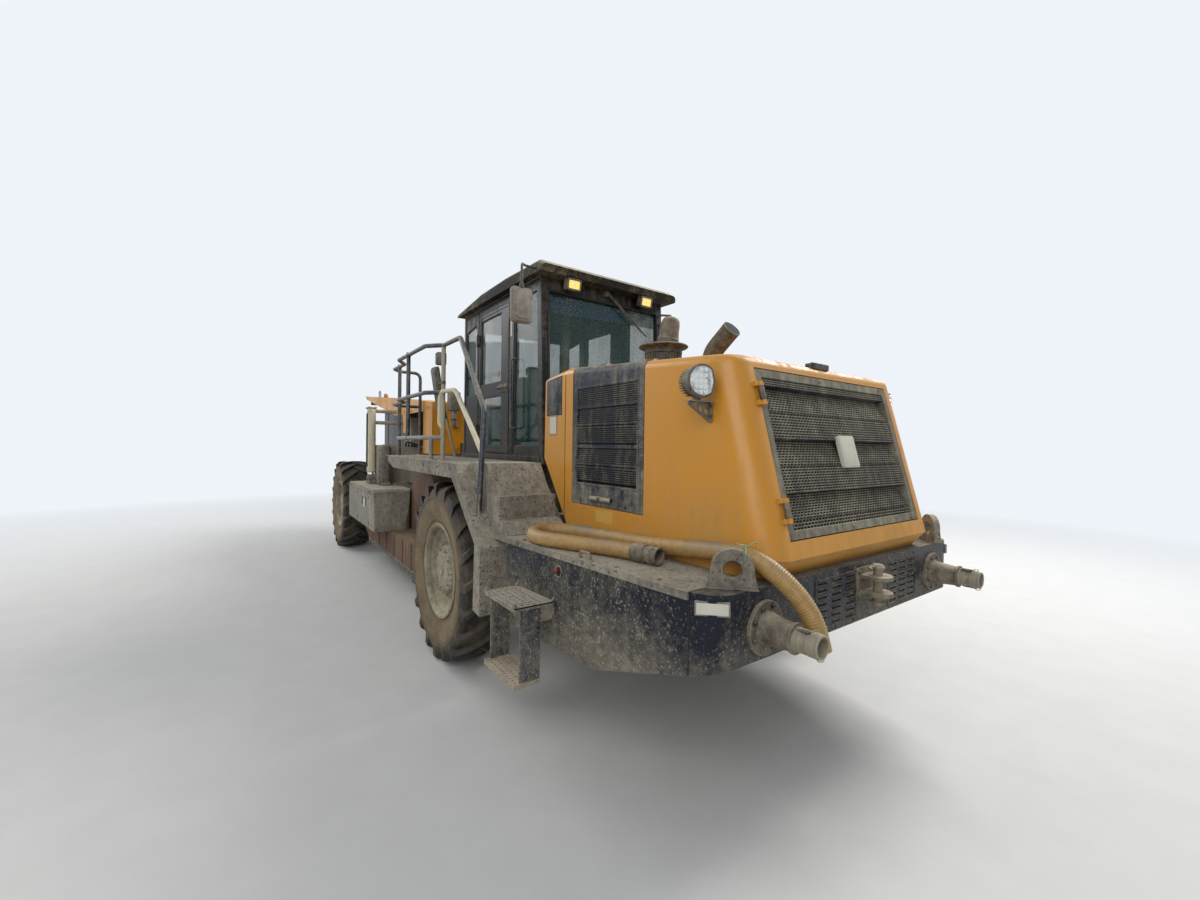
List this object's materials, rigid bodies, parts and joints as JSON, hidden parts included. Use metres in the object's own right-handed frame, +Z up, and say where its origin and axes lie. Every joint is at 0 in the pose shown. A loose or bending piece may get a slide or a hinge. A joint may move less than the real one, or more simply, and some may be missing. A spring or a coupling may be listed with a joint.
{
  "type": "wheeled road reclaimer",
  "caption": "Four-wheeled road reclaimer with a front engine hood, a cab on a railed platform, a milling drum under the arched frame and a tail cover, its suction hose laid on the front deck.",
  "frame": {"origin": "on the ground under the middle of the bounding box", "axes": "+X forward, towards the engine hood, +Y to the machine's left, +Z up"},
  "size_m": [9.7599, 3.2, 3.53],
  "materials": {
    "hood_paint": "dusty gloss",
    "side_paint": "dusty satin",
    "mesh_paint": "dusty mesh",
    "frame_paint": "dusty matt",
    "pale_paint": "dusty satin",
    "body_paint": "dusty satin, worn",
    "deck_paint": "dusty matt",
    "cast_steel": "rough",
    "engine_iron": "rough",
    "cab_paint": "dusty satin",
    "glass": "clear, tinted",
    "roof_paint": "dusty matt",
    "seat_fabric": "woven",
    "black_plastic": "dusty",
    "rail_paint": "satin",
    "lamp_plastic": "gloss",
    "exhaust_steel": "heat stained",
    "grey_paint": "dusty satin",
    "housing_paint": "worn, rusty",
    "drum_steel": "worn",
    "rod_chrome": "polished",
    "rim_paint": "dusty matt",
    "tyre": "dusty",
    "hose_plastic": "ribbed",
    "coupling_aluminium": "dirty"
  },
  "bodies": {
    "chassis": {"main_frame": "frame_paint", "mast_columns": "pale_paint", "front_bumper": "body_paint", "front_deck": "deck_paint", "lifting_lugs": "deck_paint", "tow_clevis": "cast_steel", "hose_ports": "cast_steel", "hood": "hood_paint", "engine_block": "engine_iron", "cab_floor": "cab_paint", "cab_side_right": "cab_paint", "cab_side_left": "cab_paint", "cab_front": "cab_paint", "cab_rear": "cab_paint", "cab_glass": "glass", "cab_roof": "roof_paint", "driver_seat": "seat_fabric", "steering_console": "black_plastic", "platforms": "deck_paint", "ladders": "deck_paint", "handrails": "rail_paint", "mirrors": "black_plastic", "lamps": "lamp_plastic", "exhaust_pipe": "exhaust_steel", "air_cleaner": "black_plastic", "lift_cylinders": "pale_paint", "axles": "frame_paint", "tail_cover": "hood_paint", "tanks": "body_paint", "tail_frame": "frame_paint", "hose": "hose_plastic", "hose_coupling": "coupling_aluminium"},
    "hood_door_right": {"hood_door_right": "side_paint"},
    "hood_door_left": {"hood_door_left": "side_paint"},
    "front_grille": {"front_grille": "mesh_paint"},
    "cab_door_right": {"cab_door_right": "cab_paint", "door_glass_right": "glass"},
    "cab_door_left": {"cab_door_left": "cab_paint", "door_glass_left": "glass"},
    "drum_unit": {"side_pods": "grey_paint", "drum_housing": "housing_paint", "flap_hinges": "cast_steel", "lift_rods": "rod_chrome"},
    "milling_drum": {"milling_drum": "drum_steel"},
    "front_flap": {"front_flap": "housing_paint"},
    "rear_flap": {"rear_flap": "housing_paint"},
    "knuckle_front_right": {"knuckle_front_right": "frame_paint"},
    "wheel_front_right": {"rim_front_right": "rim_paint", "tyre_front_right": "tyre"},
    "knuckle_front_left": {"knuckle_front_left": "frame_paint"},
    "wheel_front_left": {"rim_front_left": "rim_paint", "tyre_front_left": "tyre"},
    "knuckle_rear_right": {"knuckle_rear_right": "frame_paint"},
    "wheel_rear_right": {"rim_rear_right": "rim_paint", "tyre_rear_right": "tyre"},
    "knuckle_rear_left": {"knuckle_rear_left": "frame_paint"},
    "wheel_rear_left": {"rim_rear_left": "rim_paint", "tyre_rear_left": "tyre"}
  },
  "joints": [
    {"name": "steer_front_right", "type": "hinge", "parent": "chassis", "child": "knuckle_front_right", "pos_m": [1.634, -1, 0.775], "axis": [0, 0, 1], "range_deg": [-25, 25]},
    {"name": "spin_front_right", "type": "hinge", "parent": "knuckle_front_right", "child": "wheel_front_right", "pos_m": [1.634, -1.25, 0.775], "axis": [0, 1, 0], "continuous": true},
    {"name": "steer_front_left", "type": "hinge", "parent": "chassis", "child": "knuckle_front_left", "pos_m": [1.634, 1, 0.775], "axis": [0, 0, 1], "range_deg": [-25, 25]},
    {"name": "spin_front_left", "type": "hinge", "parent": "knuckle_front_left", "child": "wheel_front_left", "pos_m": [1.634, 1.25, 0.775], "axis": [0, 1, 0], "continuous": true},
    {"name": "steer_rear_right", "type": "hinge", "parent": "chassis", "child": "knuckle_rear_right", "pos_m": [-4.076, -1, 0.775], "axis": [0, 0, 1], "range_deg": [-25, 25]},
    {"name": "spin_rear_right", "type": "hinge", "parent": "knuckle_rear_right", "child": "wheel_rear_right", "pos_m": [-4.076, -1.25, 0.775], "axis": [0, 1, 0], "continuous": true},
    {"name": "steer_rear_left", "type": "hinge", "parent": "chassis", "child": "knuckle_rear_left", "pos_m": [-4.076, 1, 0.775], "axis": [0, 0, 1], "range_deg": [-25, 25]},
    {"name": "spin_rear_left", "type": "hinge", "parent": "knuckle_rear_left", "child": "wheel_rear_left", "pos_m": [-4.076, 1.25, 0.775], "axis": [0, 1, 0], "continuous": true},
    {"name": "drum_lift", "type": "slide", "parent": "chassis", "child": "drum_unit", "axis": [0, 0, 1], "range_m": [-0.3, 0]},
    {"name": "drum_spin", "type": "hinge", "parent": "drum_unit", "child": "milling_drum", "pos_m": [-0.65, 0, 0.935], "axis": [0, 1, 0], "continuous": true},
    {"name": "front_flap_swing", "type": "hinge", "parent": "drum_unit", "child": "front_flap", "pos_m": [0.1, 0, 0.6675], "axis": [0, -1, 0], "range_deg": [0, 60]},
    {"name": "rear_flap_swing", "type": "hinge", "parent": "drum_unit", "child": "rear_flap", "pos_m": [-2.92, 0, 0.6675], "axis": [0, 1, 0], "range_deg": [0, 35]},
    {"name": "cab_door_right_swing", "type": "hinge", "parent": "chassis", "child": "cab_door_right", "pos_m": [0.6975, -0.74, 2.55], "axis": [0, 0, -1], "range_deg": [0, 45]},
    {"name": "cab_door_left_swing", "type": "hinge", "parent": "chassis", "child": "cab_door_left", "pos_m": [0.6975, 0.74, 2.55], "axis": [0, 0, 1], "range_deg": [0, 45]},
    {"name": "hood_door_right_lift", "type": "hinge", "parent": "chassis", "child": "hood_door_right", "pos_m": [3.31389, -0.7025, 2.46437], "axis": [-0.9976, 0, 0.0696], "range_deg": [0, 80]},
    {"name": "hood_door_left_lift", "type": "hinge", "parent": "chassis", "child": "hood_door_left", "pos_m": [3.31389, 0.7025, 2.46437], "axis": [0.9976, 0, -0.0696], "range_deg": [0, 80]},
    {"name": "front_grille_swing", "type": "hinge", "parent": "chassis", "child": "front_grille", "pos_m": [4.50083, -0.7095, 1.88162], "axis": [0.256, 0, -0.9667], "range_deg": [0, 95]}
  ],
  "couplings": [
    {"joint": "steer_front_left", "follows": "steer_front_right", "ratio": 1},
    {"joint": "steer_rear_left", "follows": "steer_rear_right", "ratio": 1}
  ]
}
